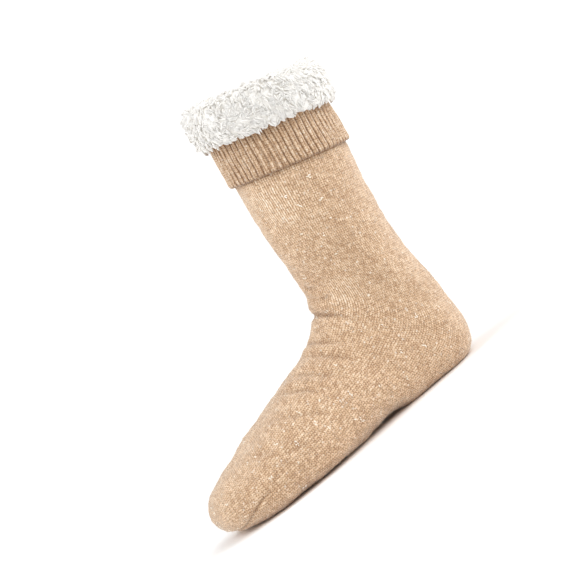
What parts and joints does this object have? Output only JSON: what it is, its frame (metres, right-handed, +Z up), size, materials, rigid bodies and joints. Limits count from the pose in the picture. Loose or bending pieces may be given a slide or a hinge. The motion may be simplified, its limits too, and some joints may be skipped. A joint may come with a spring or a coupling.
{
  "type": "slipper sock",
  "caption": "Left knitted slipper sock standing on its sole, with a ribbed turn-down cuff, a fluffy fleece ring round the open top and a fleece footbed.",
  "frame": {"origin": "On the floor, under the middle of the sock's whole box", "axes": "+Z up, the toe points to -X, the outer side (little toe) faces -Y"},
  "size_m": [0.2776, 0.1106, 0.2782],
  "materials": {
    "marled_knit": "matte heathered stockinette knit",
    "marled_rib": "matte heathered rib knit",
    "white_fleece": "matte curly pile",
    "footbed_fleece": "matte short pile"
  },
  "bodies": {
    "root": {"knit_sock": "marled_knit", "rib_cuff": "marled_rib", "fleece_collar": "white_fleece", "fleece_footbed": "footbed_fleece"}
  },
  "joints": []
}
